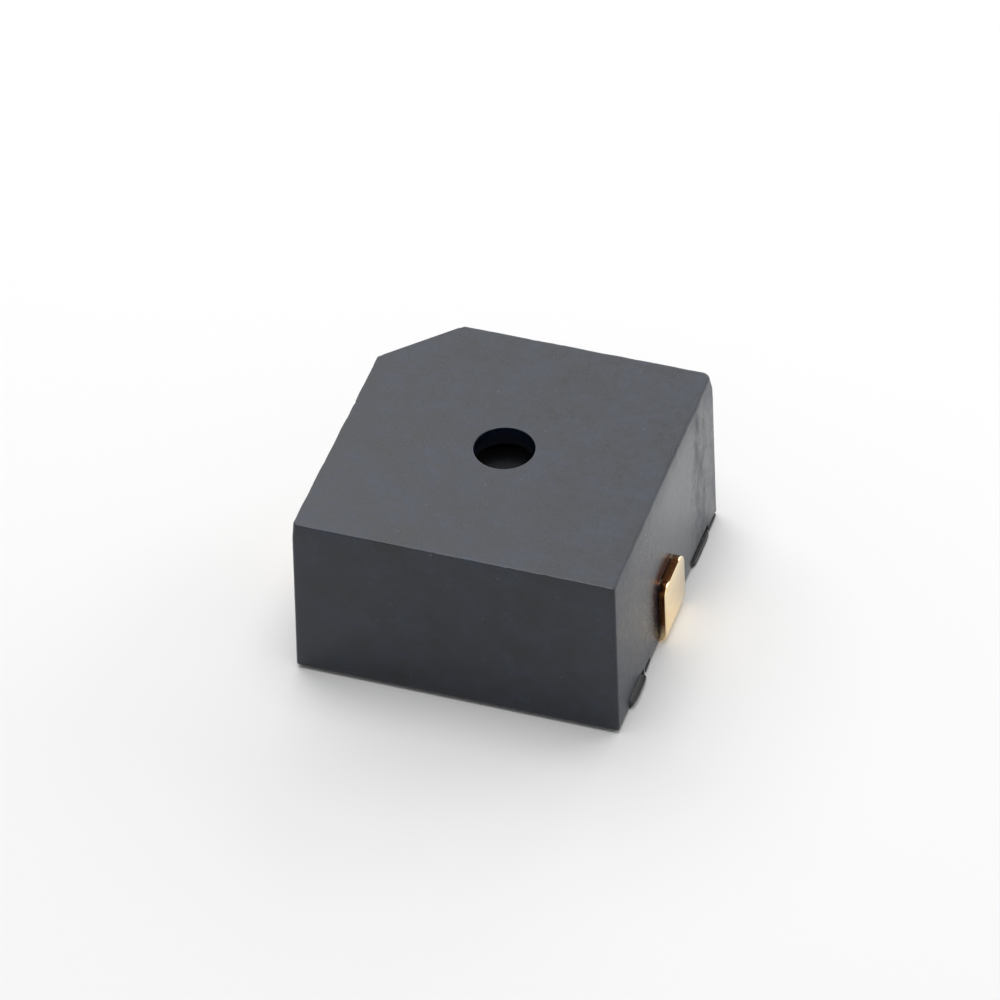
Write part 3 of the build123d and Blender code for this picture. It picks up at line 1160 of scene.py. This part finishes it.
def make_camera():
    """The photograph's viewpoint, fitted to the case's corners."""
    azimuth = math.radians(19.31)
    elevation = math.radians(42.31)
    roll = math.radians(-1.95)
    distance = 19.62 * 2 * CASE_HALF
    shift_x = 0.01969 * 2 * CASE_HALF
    shift_y = -0.05298 * 2 * CASE_HALF
    focal_px = 6621
    image_px = 1000
    back = Vector((
        math.sin(azimuth) * math.cos(elevation), -math.cos(azimuth) * math.cos(elevation),
        math.sin(elevation),
    ))
    level = Vector((math.cos(azimuth), math.sin(azimuth), 0))
    upright = back.cross(level)
    right = level * math.cos(roll) + upright * math.sin(roll)
    up = upright * math.cos(roll) - level * math.sin(roll)
    centre = Vector((0, 0, (STANDOFF + ROOF_TOP) / 2))
    place = centre - right * shift_x - up * shift_y + back * distance
    data = bpy.data.cameras.new("camera")
    data.sensor_width = 36
    data.lens = data.sensor_width * focal_px / image_px
    data.clip_start = 0.01
    data.clip_end = 10
    camera = bpy.data.objects.new("camera", data)
    turned = Matrix((right, up, back)).transposed().to_4x4()
    camera.matrix_world = Matrix.Translation(place * MM) @ turned
    bpy.context.scene.collection.objects.link(camera)
    bpy.context.scene.camera = camera


# Both mouldings are black LCP. The case looks slate blue where the lamps shine on its satin
# skin, and the base, which nobody handles, is more neutral and duller.
lcp = moulded_lcp("black_glass_filled_lcp", ("#080f1a", "#121d2e"), WALL_ROUGHNESS, handled=True)
base_lcp = moulded_lcp("black_lcp_base", ("#0f1013", "#15171b"), BASE_ROUGHNESS)
gold = gold_plate()
# Turned soft iron with barrel nickel: pale, and softly clouded from the tumbling
iron = worked_metal("nickel_plated_iron", ("#a9a8a2", "#c2c1bb"), (0.28, 0.42), 0.2)
# Soft iron, phosphated: dark grey and dull, from the fine crystals of its coat
coated_iron = worked_metal("phosphated_iron", ("#404145", "#4e4f53"), (0.68, 0.8), 0.06)
# Spring steel, cold rolled along X and blued: nearly black, with fine lines
spring = worked_metal(
    "blued_spring_steel", ("#232428", "#303238"), (0.45, 0.6), 0.05, (0.05, 1, 1)
)
# Tin solder, flowed and left to set: bright, with a frosted skin
tin = worked_metal("tin_solder", ("#b7b9bb", "#d2d4d5"), (0.18, 0.34), 0.12)
copper = enamelled_copper()
epoxy = black_epoxy()
magnet = ferrite()

make_case(lcp)
make_base(base_lcp)
make_terminal("terminal_negative", 1, gold)
make_terminal("terminal_positive", -1, gold)
refined("yoke_plate", "yoke_disc", iron, 0.03)
refined("pole_core", "pole_pin", iron, 0.03)
make_winding(copper)
make_lead("start_lead", "lead_wire_start", -1, START_LEVEL, copper)
make_lead("finish_lead", "lead_wire_finish", 1, FINISH_LEVEL, copper)
refined("solder_joint_positive", "solder_dome_positive", tin)
refined("solder_joint_negative", "solder_dome_negative", tin)
refined("ring_magnet", "magnet_ring", magnet, 0.05)
refined("diaphragm", "diaphragm_disc", spring)
refined("armature_disc", "armature_weight", coated_iron, 0.03)
refined("epoxy_fill", "potting", epoxy)
refined("seam_bond", "seam_epoxy", epoxy)

make_floor()
make_world()
for lamp_name, lamp_azimuth, lamp_elevation, lamp_radiance in LAMPS:
    room_lamp(lamp_name, lamp_azimuth, lamp_elevation, lamp_radiance)
make_camera()

settings = bpy.context.scene.view_settings
settings.view_transform = "Standard"
